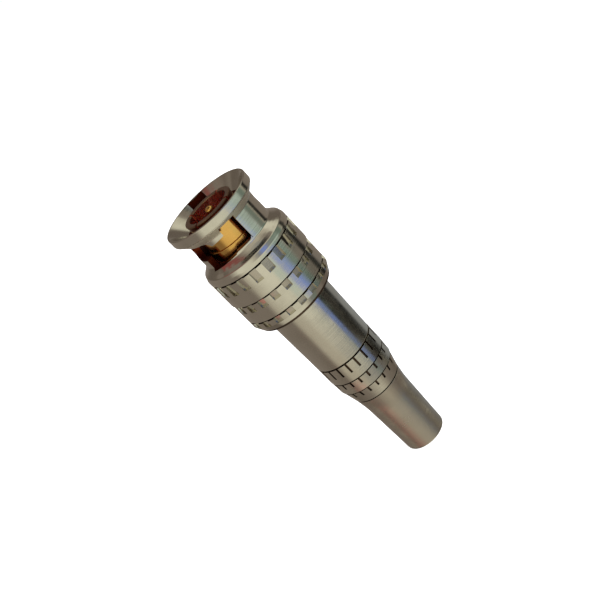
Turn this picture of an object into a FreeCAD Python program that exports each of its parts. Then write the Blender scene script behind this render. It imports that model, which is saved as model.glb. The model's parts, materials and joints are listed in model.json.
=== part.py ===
import FreeCAD, Part
import math
import os

# Bayonet coaxial cable plug with a long screwed tail, all turned brass, standing on its tail.
# Millimetres, +Z up through the mouth. A depth is measured down from the mouth plane.
# A bearing is the angle round the axis from -Y towards +X, in degrees.

# Socket that the plug mates with
SOCKET_SHELL_R = 4.85
STUD_R = 1.0
STUD_TIP_R = 5.5
PIN_R = 0.675

# Clearances
SHELL_CLEARANCE = 0.05
STUD_CLEARANCE = 0.25
ENTRY_CLEARANCE = 0.4
SLOT_CLEARANCE = 0.625
DETENT_CLEARANCE = 0.55
RUNNING_CLEARANCE = 0.1
THREAD_CLEARANCE = 0.05
SEAT_CLEARANCE = 0.02
FREE_CLEARANCE = 0.3

# Coupling sleeve, outside
FLANGE_RISE = 1.35
FLANGE_RIM = 1.35
SLEEVE_WALL = 1.0
SLEEVE_LENGTH = 4.0
LIP_WIDTH = 0.3
EDGE_BREAK = 0.15
CONE_LENGTH = 1.0
CROWN_RISE = 0.28
CROWN_FACET_LENGTH = 0.9
CROWN_LENGTH = 1.4
GRIP_WALL = 1.83
GRIP_STEP = 0.12
GRIP_BANDS = (4.36, 3.5, 2.54)
GRIP_NOTCHES = (1.9, 1.2, 0.9)
GRIP_NOTCH_SHARE = 0.5
GRIP_NOTCH_CUT = 0.45
REAR_TAPER_LENGTH = 1.35
REAR_EDGE_WALL = 1.05
GROOVE_WIDTH = 0.28
GROOVE_CUT = 0.3
NOTCH_COUNT = 20
GRIP_NOTCH_START_CUT = 0.28
NOTCH_OFFSET = 0.12

# Coupling sleeve, inside
COUPLING_SHOULDER = 8.5
FUNNEL_SLOPE = 45.0
COUPLING_WALL_STEP = 0.65

# Bayonet slots, two of them half a turn apart
ENTRY_BEARING = 3.2
ENTRY_RIM_WALL = 0.4
WINDOW_FRONT = 1.9
WINDOW_CORNER = 0.7
SLOT_FRONT = 3.15
SLOT_SWEEP = 65.0
SLOT_LEAD = 0.7
DETENT_FRONT = 2.2
DETENT_START = -46.0
LOCK_TURN = 90.0
SLOT_COUNT = 2

# Contact body
BODY_FLANGE_LENGTH = 1.5
BODY_COLLAR_R = 4.25
COLLAR_FRONT = 5.55
BODY_STEP_R = 4.75
BODY_STEP_LENGTH = 2.7
NECK_R = 4.4
NECK_LENGTH = 4.8
BODY_REAR_BORE_R = 2.6
CLAMP_SEAT_LENGTH = 1.7

# Outer contact, pressed into the body
CONTACT_FRONT = 0.4
CONTACT_R = 4.05
CONTACT_LIP_ROUND = 0.3
CONTACT_BORE_R = 3.3
CONTACT_SEAT_R = 3.75
CONTACT_SEAT_LENGTH = 2.6
CONTACT_SLOTS = 4
CONTACT_SLOT_WIDTH = 0.35
CONTACT_SLOT_LENGTH = 2.85

# Gasket that the socket's shell presses on
GASKET_LENGTH = 1.0
GASKET_WALL = 0.48

# Insulators
INSULATOR_FRONT = 5.2
INSULATOR_STEP_LENGTH = 4.3
INSULATOR_REAR = 15.6

# Centre pin with its solder cup
PIN_FRONT = 0.4
PIN_STEP = 5.0
PIN_SHANK_R = 1.0
PIN_FLANGE_R = 1.5
PIN_FLANGE_LENGTH = 0.8
PIN_SETBACK = 1.5
CUP_BORE_R = 0.55
CUP_LENGTH = 4.0
CUP_WINDOW_LENGTH = 2.4

# Spring stack that pulls the coupling on to the socket
WASHER_BORE_CLEARANCE = 0.2
WAVE_HEIGHT = 1.0
WAVE_THICKNESS = 0.25
WAVE_COUNT = 3
WAVE_FACETS = 36
FLAT_WASHER_THICKNESS = 0.5
SNAP_RING_BITE = 0.45
SNAP_RING_WIDTH = 1.0
SNAP_RING_THICKNESS = 0.6
SNAP_RING_GAP = 50.0

# Braid clamp, a trough with two wings that fold round the cable
CLAMP_R = 3.2
CLAMP_WALL = 0.4
TROUGH_SETBACK = 1.1
WING_LENGTH = 2.0
WING_RISE = 1.2

# Insulating tube round the soldered joint
TUBE_WALL = 0.3

# Barrel
BARREL_FRONT_R = 5.27
BARREL_REAR_R = 5.05
BARREL_LENGTH = 17.9
CHAMBER_R = 3.95
WEB_LENGTH = 0.7
WEB_BORE_R = 2.95
TAIL_THREAD_R = 4.15

# Cable clamping parts in the barrel
COLLET_LENGTH = 1.4
COLLET_SLIT = 0.5
GROMMET_LENGTH = 1.6
SLIP_WASHER_LENGTH = 0.45
CLAMP_PARTS_R = 3.9
CLAMP_PARTS_BORE_R = 2.95

# Tail nut with its long tapered tail
SPIGOT_LENGTH = 2.9
CABLE_BORE_R = 2.75
TAIL_BANDS = (3.2, 2.3, 2.6)
TAIL_RADII = ((5.07, 5.05), (5.03, 4.92), (4.85, 4.28))
TAIL_NOTCHES = (1.8, 1.0, 1.0)
TAIL_NOTCH_SHARE = 0.2
TAIL_NOTCH_CUT = 0.22
TAIL_GROOVE_WIDTH = 0.22
TAIL_TUBE_LENGTH = 13.0
TAIL_NECK_R = 4.22
TAIL_NECK_LENGTH = 2.6
TAIL_TUBE_FRONT_R = 3.88
TAIL_TUBE_REAR_R = 3.5
TAIL_ROUND = 0.35

# Stations along the axis, all depths behind the mouth plane
ENTRY_WIDTH = 2 * (STUD_R + ENTRY_CLEARANCE)
SLOT_WIDTH = 2 * (STUD_R + SLOT_CLEARANCE)
DETENT_WIDTH = 2 * (STUD_R + DETENT_CLEARANCE)
BORE_R = SOCKET_SHELL_R + SHELL_CLEARANCE
REAR_BORE_R = BORE_R + COUPLING_WALL_STEP
SLEEVE_R = BORE_R + SLEEVE_WALL
FLANGE_R = SLEEVE_R + FLANGE_RISE
GRIP_R = REAR_BORE_R + GRIP_WALL
FLANGE_BACK = FLANGE_RIM + FLANGE_RISE
CONE_START = FLANGE_BACK + SLEEVE_LENGTH
CONE_END = CONE_START + CONE_LENGTH
BANDS_START = CONE_END + CROWN_LENGTH
BANDS_END = BANDS_START + sum(GRIP_BANDS)
FUNNEL_R = FLANGE_R - LIP_WIDTH
FUNNEL_DEPTH = (FUNNEL_R - BORE_R) / math.tan(math.radians(FUNNEL_SLOPE))
BODY_FLANGE_REAR = COUPLING_SHOULDER + BODY_FLANGE_LENGTH
BODY_FLANGE_R = REAR_BORE_R - RUNNING_CLEARANCE
BARREL_FRONT = BODY_FLANGE_REAR + BODY_STEP_LENGTH
BODY_REAR = BARREL_FRONT + NECK_LENGTH
FLAT_WASHER_FRONT = BODY_FLANGE_REAR + WAVE_HEIGHT
SNAP_RING_FRONT = FLAT_WASHER_FRONT + FLAT_WASHER_THICKNESS
BARREL_END = BARREL_FRONT + BARREL_LENGTH
SPIGOT_FRONT = BARREL_END - SPIGOT_LENGTH
GROMMET_END = SPIGOT_FRONT - SLIP_WASHER_LENGTH
COLLET_END = GROMMET_END - GROMMET_LENGTH
WEB_END = COLLET_END - COLLET_LENGTH
CHAMBER_END = WEB_END - WEB_LENGTH
CHAMBER_FRONT = BODY_REAR + FREE_CLEARANCE
TROUGH_END = CHAMBER_END - TROUGH_SETBACK
PIN_REAR = TROUGH_END - PIN_SETBACK
TAIL_BANDS_END = BARREL_END + sum(TAIL_BANDS)
LENGTH = TAIL_BANDS_END + TAIL_TUBE_LENGTH
COLLAR_SEAT_END = COLLAR_FRONT + CONTACT_SEAT_LENGTH
WASHER_BORE_R = BODY_STEP_R + WASHER_BORE_CLEARANCE

ORIGIN = FreeCAD.Vector(0, 0, 0)
AXIS = FreeCAD.Vector(0, 0, 1)
PITCH_ANGLE = 360.0 / NOTCH_COUNT
OUTSIDE = 2.0
ROUND = "round"
ROUND_FLATS = 3


def height(depth):
    """Height above the tail's end of a depth behind the mouth."""
    return LENGTH - depth


def section(corners):
    """Closed face in the XZ half plane. A corner is (radius, depth); a third value cuts it back
    by a chamfer of that reach, and a fourth, ROUND, makes the chamfer a rounding in small flats."""
    points = [FreeCAD.Vector(corner[0], 0, height(corner[1])) for corner in corners]
    outline = []
    for index, corner in enumerate(corners):
        point = points[index]
        if len(corner) == 2:
            outline.append(point)
            continue
        before = (points[index - 1] - point).normalize() * corner[2]
        after = (points[(index + 1) % len(points)] - point).normalize() * corner[2]
        flats = ROUND_FLATS if corner[-1] == ROUND else 1
        for step in range(flats + 1):
            turn = math.pi / 2 * step / flats
            outline.append(point + before * (1 - math.sin(turn)) + after * (1 - math.cos(turn)))
    return Part.Face(Part.makePolygon(outline + outline[:1]))


def turned(corners):
    """Solid of revolution from a section."""
    return section(corners).revolve(ORIGIN, AXIS, 360)


def sector(corners, start, end):
    """Part of a turned ring between two bearings."""
    face = section(corners)
    face.rotate(ORIGIN, AXIS, start - 90)
    return face.revolve(ORIGIN, AXIS, end - start)


def ring(inner, outer, front, rear):
    """Plain ring between two radii and two depths."""
    return turned([(inner, front), (outer, front), (outer, rear), (inner, rear)])


def block(width, inner, outer, front, rear, bearing):
    """Bar that stands out along a bearing, with straight sides a width apart."""
    corner = FreeCAD.Vector(-width / 2, -outer, height(rear))
    shape = Part.makeBox(width, outer - inner, rear - front, corner)
    shape.rotate(ORIGIN, AXIS, bearing)
    return shape


def radial_hole(radius, inner, outer, depth, bearing):
    """Round hole drilled towards the axis."""
    shape = Part.makeCylinder(radius, outer - inner, FreeCAD.Vector(0, -outer, height(depth)),
                              FreeCAD.Vector(0, 1, 0))
    shape.rotate(ORIGIN, AXIS, bearing)
    return shape


def groove(radius, start, width):
    """V groove turned round a band."""
    end = start + width
    return turned([(radius - GROOVE_CUT, start + width / 2), (radius, start),
                   (radius + OUTSIDE, start), (radius + OUTSIDE, end), (radius, end)])


def round_copies(shape, count):
    """Equal copies of a shape round the axis."""
    copies = []
    for index in range(count):
        copy = shape.copy()
        copy.rotate(ORIGIN, AXIS, 360.0 * index / count)
        copies.append(copy)
    return copies


def notches(floor_start, floor_end, start, length, share, centred):
    """Notches round a band, their floor between two radii, with a steep shoulder at the end."""
    span = PITCH_ANGLE * share
    first = -span / 2 if centred else 0.0
    end = start + length
    outer = floor_start + OUTSIDE
    wedge = [(floor_start, start), (outer, start), (outer, end), (floor_end, end)]
    return round_copies(sector(wedge, first, first + span), NOTCH_COUNT)


def bayonet_slot():
    """Entry groove, window, helical ramp and detent pocket of one stud, cut through the wall."""
    inner = BORE_R - 1
    outer = FLANGE_R + OUTSIDE
    slot_rear = SLOT_FRONT + SLOT_WIDTH
    groove = block(ENTRY_WIDTH, 0, STUD_TIP_R + STUD_CLEARANCE, -OUTSIDE, slot_rear, ENTRY_BEARING)
    lead_in = block(ENTRY_WIDTH, 0, FLANGE_R - ENTRY_RIM_WALL, -OUTSIDE, FLANGE_RIM, ENTRY_BEARING)
    window = block(ENTRY_WIDTH, inner, outer, WINDOW_FRONT, slot_rear, 0)
    corner = [edge for edge in window.Edges
              if all(vertex.X > 0 and abs(vertex.Z - height(slot_rear)) < 0.01
                     for vertex in edge.Vertexes)]
    window = window.makeFillet(WINDOW_CORNER, corner)
    window.rotate(ORIGIN, AXIS, ENTRY_BEARING)

    pitch = SLOT_LEAD * 360 / SLOT_SWEEP
    path = Part.makeHelix(pitch, SLOT_LEAD, SLEEVE_R)
    face = Part.Wire(Part.makePolygon([
        FreeCAD.Vector(inner, 0, 0), FreeCAD.Vector(outer, 0, 0),
        FreeCAD.Vector(outer, 0, SLOT_WIDTH), FreeCAD.Vector(inner, 0, SLOT_WIDTH),
        FreeCAD.Vector(inner, 0, 0)]))
    ramp = Part.Wire(path.Edges).makePipeShell([face], True, True)
    ramp.translate(FreeCAD.Vector(0, 0, height(slot_rear + SLOT_LEAD)))
    ramp.rotate(ORIGIN, AXIS, ENTRY_BEARING - SLOT_SWEEP - 90)

    lock = ENTRY_BEARING - LOCK_TURN
    detent_rear = DETENT_FRONT + DETENT_WIDTH
    pocket = [(inner, DETENT_FRONT), (outer, DETENT_FRONT), (outer, detent_rear), (inner, detent_rear)]
    middle = (DETENT_FRONT + detent_rear) / 2
    return [groove, lead_in, window, ramp, sector(pocket, lock, DETENT_START),
            radial_hole(DETENT_WIDTH / 2, inner, outer, middle, lock),
            radial_hole(DETENT_WIDTH / 2, inner, outer, middle, DETENT_START)]


def coupling_sleeve():
    """Bayonet nut: funnel mouth, flange, slotted sleeve, coned grip with three notched bands."""
    crown_r = GRIP_R - CROWN_RISE
    lower_r = GRIP_R - GRIP_STEP
    second = BANDS_START + GRIP_BANDS[0]
    shape = turned([
        (BORE_R, FUNNEL_DEPTH), (FUNNEL_R, 0), (FLANGE_R, 0, EDGE_BREAK),
        (FLANGE_R, FLANGE_RIM, EDGE_BREAK), (SLEEVE_R, FLANGE_BACK), (SLEEVE_R, CONE_START),
        (crown_r, CONE_END), (GRIP_R, CONE_END + CROWN_FACET_LENGTH), (GRIP_R, second),
        (lower_r, second), (lower_r, BANDS_END - REAR_TAPER_LENGTH, EDGE_BREAK),
        (REAR_BORE_R + REAR_EDGE_WALL, BANDS_END, EDGE_BREAK), (REAR_BORE_R, BANDS_END),
        (REAR_BORE_R, COUPLING_SHOULDER), (BORE_R, COUPLING_SHOULDER)])
    ring_end = SNAP_RING_FRONT + SNAP_RING_THICKNESS
    groove_r = REAR_BORE_R + SNAP_RING_BITE + SEAT_CLEARANCE
    cuts = [ring(REAR_BORE_R - 1, groove_r, SNAP_RING_FRONT, ring_end)]
    start = BANDS_START
    for index, (band, notch) in enumerate(zip(GRIP_BANDS, GRIP_NOTCHES)):
        radius = GRIP_R if index == 0 else lower_r
        cuts.append(groove(radius, start, GROOVE_WIDTH))
        cuts += notches(radius - GRIP_NOTCH_START_CUT, radius - GRIP_NOTCH_CUT,
                        start + NOTCH_OFFSET + GROOVE_WIDTH / 2, notch, GRIP_NOTCH_SHARE, False)
        start += band
    for cutter in bayonet_slot():
        cuts += round_copies(cutter, SLOT_COUNT)
    return shape.cut(cuts)


def contact_body():
    """Turned body: collar, flange that the coupling turns on, threaded neck."""
    seat = BODY_REAR - CLAMP_SEAT_LENGTH
    pin_pocket = INSULATOR_FRONT + INSULATOR_STEP_LENGTH
    front_bore = CONTACT_BORE_R
    return turned([
        (CONTACT_SEAT_R, COLLAR_FRONT), (BODY_COLLAR_R, COLLAR_FRONT, EDGE_BREAK),
        (BODY_COLLAR_R, COUPLING_SHOULDER), (BODY_FLANGE_R, COUPLING_SHOULDER),
        (BODY_FLANGE_R, BODY_FLANGE_REAR), (BODY_STEP_R, BODY_FLANGE_REAR),
        (BODY_STEP_R, BARREL_FRONT), (NECK_R, BARREL_FRONT), (NECK_R, BODY_REAR),
        (CLAMP_R, BODY_REAR), (CLAMP_R, seat), (BODY_REAR_BORE_R, seat),
        (BODY_REAR_BORE_R, pin_pocket), (front_bore, pin_pocket), (front_bore, COLLAR_SEAT_END),
        (CONTACT_SEAT_R, COLLAR_SEAT_END)])


def outer_contact():
    """Slotted contact tube with a rounded lip, its rear end pressed into the body's collar."""
    shape = turned([
        (CONTACT_BORE_R, CONTACT_FRONT), (CONTACT_R, CONTACT_FRONT, CONTACT_LIP_ROUND, ROUND),
        (CONTACT_R, COLLAR_FRONT),
        (CONTACT_SEAT_R, COLLAR_FRONT), (CONTACT_SEAT_R, COLLAR_SEAT_END),
        (CONTACT_BORE_R, COLLAR_SEAT_END)])
    slit_end = CONTACT_FRONT + CONTACT_SLOT_LENGTH
    slit = block(CONTACT_SLOT_WIDTH, CONTACT_BORE_R - 1, CONTACT_R + 1, CONTACT_FRONT - 1,
                 slit_end, 180.0 / CONTACT_SLOTS)
    return shape.cut(round_copies(slit, CONTACT_SLOTS))


def sealing_gasket():
    """Soft ring on the body's collar, in front of its flange."""
    inner = BODY_COLLAR_R + SEAT_CLEARANCE
    return ring(inner, inner + GASKET_WALL, COUPLING_SHOULDER - GASKET_LENGTH, COUPLING_SHOULDER)


def front_insulator():
    """Bead in the outer contact that holds the pin on the axis."""
    radius = CONTACT_BORE_R - SEAT_CLEARANCE
    rear = INSULATOR_FRONT + INSULATOR_STEP_LENGTH
    return ring(PIN_SHANK_R + SEAT_CLEARANCE, radius, INSULATOR_FRONT, rear)


def rear_insulator():
    """Bead in the body's rear bore, with a pocket for the pin's flange."""
    front = INSULATOR_FRONT + INSULATOR_STEP_LENGTH
    radius = BODY_REAR_BORE_R - SEAT_CLEARANCE
    pocket = front + PIN_FLANGE_LENGTH + SEAT_CLEARANCE
    hole = PIN_SHANK_R + SEAT_CLEARANCE
    return turned([
        (PIN_FLANGE_R + SEAT_CLEARANCE, front), (radius, front), (radius, INSULATOR_REAR),
        (hole, INSULATOR_REAR), (hole, pocket), (PIN_FLANGE_R + SEAT_CLEARANCE, pocket)])


def centre_pin():
    """Pin with a round tip, a flange held between the beads and a solder cup at the cable."""
    flange = INSULATOR_FRONT + INSULATOR_STEP_LENGTH + SEAT_CLEARANCE
    flange_end = flange + PIN_FLANGE_LENGTH - SEAT_CLEARANCE
    tip_round = PIN_R * 0.8
    shape = turned([
        (0, PIN_FRONT), (PIN_R, PIN_FRONT, tip_round, ROUND), (PIN_R, PIN_STEP),
        (PIN_SHANK_R, PIN_STEP, EDGE_BREAK), (PIN_SHANK_R, flange), (PIN_FLANGE_R, flange),
        (PIN_FLANGE_R, flange_end), (PIN_SHANK_R, flange_end), (PIN_SHANK_R, PIN_REAR),
        (CUP_BORE_R, PIN_REAR), (CUP_BORE_R, PIN_REAR - CUP_LENGTH),
        (0, PIN_REAR - CUP_LENGTH - CUP_BORE_R)])
    window = block(CUP_BORE_R * 2, 0, PIN_SHANK_R + 1, PIN_REAR - CUP_WINDOW_LENGTH, PIN_REAR + 1, 0)
    return shape.cut(window)


def wave_washer():
    """Spring washer: a thin flat ring bent into even waves between body flange and washer."""
    lift = (WAVE_HEIGHT - WAVE_THICKNESS) / 2 - SEAT_CLEARANCE
    middle = height(BODY_FLANGE_REAR + WAVE_HEIGHT / 2)
    slices = []
    for index in range(WAVE_FACETS):
        bearing = 360.0 * index / WAVE_FACETS
        low = middle + lift * math.cos(math.radians(WAVE_COUNT * bearing)) - WAVE_THICKNESS / 2
        corners = [FreeCAD.Vector(WASHER_BORE_R, 0, low), FreeCAD.Vector(BODY_FLANGE_R, 0, low),
                   FreeCAD.Vector(BODY_FLANGE_R, 0, low + WAVE_THICKNESS),
                   FreeCAD.Vector(WASHER_BORE_R, 0, low + WAVE_THICKNESS)]
        slice_wire = Part.makePolygon(corners + corners[:1])
        slice_wire.rotate(ORIGIN, AXIS, bearing)
        slices.append(slice_wire)
    return Part.makeLoft(slices, True, True, True)


def flat_washer():
    """Thrust washer between the wave washer and the snap ring."""
    return ring(WASHER_BORE_R, BODY_FLANGE_R, FLAT_WASHER_FRONT, SNAP_RING_FRONT)


def snap_ring():
    """Open ring sprung into the coupling's inner groove."""
    outer = REAR_BORE_R + SNAP_RING_BITE
    inner = outer - SNAP_RING_WIDTH
    rear = SNAP_RING_FRONT + SNAP_RING_THICKNESS
    corners = [(inner, SNAP_RING_FRONT), (outer, SNAP_RING_FRONT), (outer, rear), (inner, rear)]
    return sector(corners, SNAP_RING_GAP / 2, 360 - SNAP_RING_GAP / 2)


def braid_clamp():
    """Collar in the body's rear bore with a half-round trough and two wings for the braid."""
    outer = CLAMP_R - SEAT_CLEARANCE
    inner = outer - CLAMP_WALL
    start = BODY_REAR - CLAMP_SEAT_LENGTH + SEAT_CLEARANCE
    collar = ring(inner, outer, start, BODY_REAR)
    trough = sector([(inner, start), (outer, start), (outer, TROUGH_END), (inner, TROUGH_END)], 90, 270)
    wings = [Part.makeBox(CLAMP_WALL, WING_RISE, WING_LENGTH,
                          FreeCAD.Vector(x, -WING_RISE, height(TROUGH_END)))
             for x in (inner, -outer)]
    return collar.multiFuse([trough] + wings).removeSplitter()


def insulating_tube():
    """Plastic tube that keeps the soldered joint off the barrel."""
    outer = CHAMBER_R - FREE_CLEARANCE / 2
    return ring(outer - TUBE_WALL, outer, CHAMBER_FRONT + SEAT_CLEARANCE, CHAMBER_END)


def barrel():
    """Long tapered shell that screws on to the body's neck; a web parts chamber and tail thread."""
    thread_r = NECK_R + THREAD_CLEARANCE
    tail_r = TAIL_THREAD_R + THREAD_CLEARANCE
    straight = BANDS_END
    return turned([
        (thread_r, BARREL_FRONT), (BARREL_FRONT_R, BARREL_FRONT),
        (BARREL_FRONT_R, straight), (BARREL_REAR_R, BARREL_END, EDGE_BREAK),
        (tail_r, BARREL_END), (tail_r, WEB_END), (WEB_BORE_R, WEB_END),
        (WEB_BORE_R, CHAMBER_END), (CHAMBER_R, CHAMBER_END), (CHAMBER_R, CHAMBER_FRONT),
        (thread_r, CHAMBER_FRONT)])


def cable_collet():
    """Split ring whose coned bore the grommet squeezes on to the cable."""
    shape = turned([
        (CLAMP_PARTS_BORE_R, WEB_END), (CLAMP_PARTS_R, WEB_END),
        (CLAMP_PARTS_R, COLLET_END), (CLAMP_PARTS_R - 0.45, COLLET_END),
        (CLAMP_PARTS_BORE_R, COLLET_END - COLLET_LENGTH / 2)])
    slit = block(COLLET_SLIT, 0, CLAMP_PARTS_R + 1, WEB_END - 1, COLLET_END + 1, 180)
    return shape.cut(slit)


def grommet():
    """Rubber ring that seals and grips the cable's jacket."""
    return ring(CLAMP_PARTS_BORE_R, CLAMP_PARTS_R, COLLET_END, GROMMET_END)


def slip_washer():
    """Loose washer that keeps the turning tail nut from twisting the grommet."""
    return ring(CLAMP_PARTS_BORE_R, CLAMP_PARTS_R, GROMMET_END, SPIGOT_FRONT)


def tail_nut():
    """Nut with three notched bands, a threaded spigot and a long tapered tail for the cable."""
    corners = [(CABLE_BORE_R, SPIGOT_FRONT), (TAIL_THREAD_R, SPIGOT_FRONT),
               (TAIL_THREAD_R, BARREL_END)]
    start = BARREL_END
    for band, (front_r, rear_r) in zip(TAIL_BANDS, TAIL_RADII):
        corners += [(front_r, start), (rear_r, start + band)]
        start += band
    corners += [(TAIL_NECK_R, start), (TAIL_TUBE_FRONT_R, start + TAIL_NECK_LENGTH),
                (TAIL_TUBE_REAR_R, LENGTH, TAIL_ROUND, ROUND), (CABLE_BORE_R, LENGTH)]
    cuts = []
    start = BARREL_END
    for band, notch, radii in zip(TAIL_BANDS, TAIL_NOTCHES, TAIL_RADII):
        floor = radii[0] - TAIL_NOTCH_CUT
        fall = (radii[0] - radii[1]) * notch / band
        cuts.append(groove(radii[0], start, TAIL_GROOVE_WIDTH))
        cuts += notches(floor, floor - fall, start + NOTCH_OFFSET, notch, TAIL_NOTCH_SHARE, True)
        start += band
    cuts.append(groove(TAIL_NECK_R, start, TAIL_GROOVE_WIDTH))
    return turned(corners).cut(cuts)


PIECES = (
    coupling_sleeve, snap_ring, flat_washer, wave_washer, contact_body, outer_contact,
    sealing_gasket, front_insulator, rear_insulator, centre_pin, braid_clamp, insulating_tube,
    barrel, cable_collet, grommet, slip_washer, tail_nut)

os.makedirs("parts", exist_ok=True)
for piece in PIECES:
    solid = piece()
    solid.exportStep("parts/" + piece.__name__ + ".step")
    print(piece.__name__, "volume", round(solid.Volume, 3), "solids", len(solid.Solids),
          "valid", solid.isValid(), "faces", len(solid.Faces))
print("length", round(LENGTH, 3))
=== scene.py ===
# %% [markdown]
# A bayonet coaxial cable plug, standing on its tail. On the real plug every visible part is turned
# brass, plated with nickel or gold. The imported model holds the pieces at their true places, so the
# scene starts by loading it and notes its box before anything is added.

# %% Load the frame
import json
import math

import bmesh
import bpy
import numpy as np
from mathutils import Matrix, Vector


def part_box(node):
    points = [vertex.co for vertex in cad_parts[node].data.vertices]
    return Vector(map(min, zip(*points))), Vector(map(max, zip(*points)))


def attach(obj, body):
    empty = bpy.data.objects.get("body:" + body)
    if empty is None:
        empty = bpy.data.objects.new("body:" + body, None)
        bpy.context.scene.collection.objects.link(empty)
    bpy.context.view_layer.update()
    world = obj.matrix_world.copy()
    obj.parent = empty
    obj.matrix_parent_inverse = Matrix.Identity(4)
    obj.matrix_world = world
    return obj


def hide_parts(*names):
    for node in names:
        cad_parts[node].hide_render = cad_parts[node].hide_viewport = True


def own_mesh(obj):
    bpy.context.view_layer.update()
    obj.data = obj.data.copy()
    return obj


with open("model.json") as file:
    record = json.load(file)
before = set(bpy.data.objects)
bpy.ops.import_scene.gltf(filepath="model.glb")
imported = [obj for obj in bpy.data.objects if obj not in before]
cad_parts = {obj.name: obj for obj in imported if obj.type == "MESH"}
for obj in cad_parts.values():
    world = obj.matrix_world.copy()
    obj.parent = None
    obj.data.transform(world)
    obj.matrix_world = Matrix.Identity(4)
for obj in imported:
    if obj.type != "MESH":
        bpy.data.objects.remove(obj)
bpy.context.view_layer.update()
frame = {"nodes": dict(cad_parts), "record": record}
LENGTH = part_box("coupling_sleeve")[1].z * 1000
print("pieces in the frame:", len(frame["nodes"]), "length in mm:", round(LENGTH, 2))

# %% [markdown]
# All sizes below are in millimetres, as on a workshop drawing. A depth is measured down from the
# mouth and a bearing is the angle round the axis from -Y towards +X. One function turns both into
# points in metres, so that each piece is written in the words of a lathe: radius, depth, bearing.

# %% Points from radius, depth and bearing
MM = 0.001


def on_axis(radius, depth, bearing):
    """Points from arrays in mm and degrees: x = r sin b, y = -r cos b, z = length - depth."""
    radius, depth, bearing = np.broadcast_arrays(radius, depth, np.radians(bearing))
    x = radius * np.sin(bearing)
    y = -radius * np.cos(bearing)
    return np.stack([x, y, LENGTH - depth], axis=-1) * MM


print("mouth centre:", on_axis(0.0, 0.0, 0.0).round(4))

# %% [markdown]
# A turned piece is a closed section carried round the axis. Real edges are never knife sharp: the
# tool leaves a small radius, and that radius catches the light. So each corner of a section becomes
# a short curve, with one more point on each side that keeps the flats beside it flat when shaded.

# %% Sections with rounded corners
EDGE_ROUND = 0.05
EDGE_SUPPORT = 0.02
REACH_SHARE = 0.45
SUPPORT_SHARE = 1.08
CORNER_STEPS = 4


def rounded(corners):
    """Closed outline (rows of radius, depth) from corners (radius, depth[, reach]).

    Each corner is the quadratic curve between the points a reach before and after it on its two
    sides: (1-t)^2 A + 2t(1-t) P + t^2 B, with t over whole arrays. A reach is at most REACH_SHARE
    of the shorter side, and the supporting point lies SUPPORT_SHARE of that away at most."""
    reach = np.array([corner[2] if len(corner) > 2 else EDGE_ROUND for corner in corners])
    point = np.array([corner[:2] for corner in corners], float)
    back = np.roll(point, 1, axis=0) - point
    ahead = np.roll(point, -1, axis=0) - point
    back_length = np.linalg.norm(back, axis=1)
    ahead_length = np.linalg.norm(ahead, axis=1)
    room = np.minimum(back_length, ahead_length) * REACH_SHARE
    reach = np.minimum(reach, room)[:, None]
    support = np.minimum(reach[:, 0] + EDGE_SUPPORT, room * SUPPORT_SHARE)[:, None]
    back /= back_length[:, None]
    ahead /= ahead_length[:, None]
    t = np.linspace(0, 1, CORNER_STEPS + 1)[None, :, None]
    start = (point + back * reach)[:, None]
    middle = point[:, None]
    end = (point + ahead * reach)[:, None]
    curve = (1 - t) ** 2 * start + 2 * t * (1 - t) * middle + t ** 2 * end
    first = (point + back * support)[:, None]
    last = (point + ahead * support)[:, None]
    return np.concatenate([first, curve, last], axis=1).reshape(-1, 2)


print("points on a square section:", len(rounded([(1, 0), (2, 0), (2, 1), (1, 1)])))

# %% [markdown]
# The grid of points becomes a mesh in one step. Rows run along the section and columns round the
# axis. Whether a grid comes out inside out depends on the way its section was drawn, so the signed
# volume is measured and the faces are turned when it is negative.

# %% A mesh from a grid
SHARP_ANGLE = math.radians(32)
POLE_MERGE = 1e-7


def grid_quads(rows, columns, wrap_rows, wrap_columns):
    """Corner numbers of the quads of a grid, closed in either direction where asked."""
    row = np.arange(rows if wrap_rows else rows - 1)[:, None]
    column = np.arange(columns if wrap_columns else columns - 1)[None, :]
    below, beside = (row + 1) % rows, (column + 1) % columns
    corners = [row * columns + column, row * columns + beside,
               below * columns + beside, below * columns + column]
    return np.stack(np.broadcast_arrays(*corners), axis=-1).reshape(-1, 4)


def mesh_piece(name, points, quads):
    """Object whose mesh has these points and quads, its faces outwards and its poles closed."""
    points = points.reshape(-1, 3)
    origin, one, two, three = (points[quads[:, corner]] for corner in range(4))
    volume = (np.einsum("ij,ij->i", origin, np.cross(one, two)).sum()
              + np.einsum("ij,ij->i", origin, np.cross(two, three)).sum()) / 6
    if volume < 0:
        quads = quads[:, ::-1]
    mesh = bpy.data.meshes.new(name)
    mesh.vertices.add(len(points))
    mesh.vertices.foreach_set("co", points.astype(np.float32).ravel())
    mesh.loops.add(quads.size)
    mesh.loops.foreach_set("vertex_index", quads.astype(np.int32).ravel())
    mesh.polygons.add(len(quads))
    mesh.polygons.foreach_set("loop_start", np.arange(0, quads.size, 4, dtype=np.int32))
    mesh.update(calc_edges=True)
    clean = bmesh.new()
    clean.from_mesh(mesh)
    bmesh.ops.remove_doubles(clean, verts=clean.verts, dist=POLE_MERGE)
    clean.to_mesh(mesh)
    clean.free()
    piece = bpy.data.objects.new(name, mesh)
    bpy.context.scene.collection.objects.link(piece)
    return piece


def shade(piece):
    """Smooth shading, apart from edges that turn by more than SHARP_ANGLE."""
    piece.data.shade_smooth()
    piece.data.set_sharp_from_angle(angle=SHARP_ANGLE)
    return piece


print("quads of a closed 4 by 6 grid:", len(grid_quads(4, 6, True, True)))

# %% [markdown]
# The lathe itself. Notches and threads are places where the tool went deeper, so a turned piece may
# have a cut: a function that gives, for every radius, depth and bearing, how much metal is gone.

# %% The lathe
ROUND_COLUMNS = 192


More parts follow.
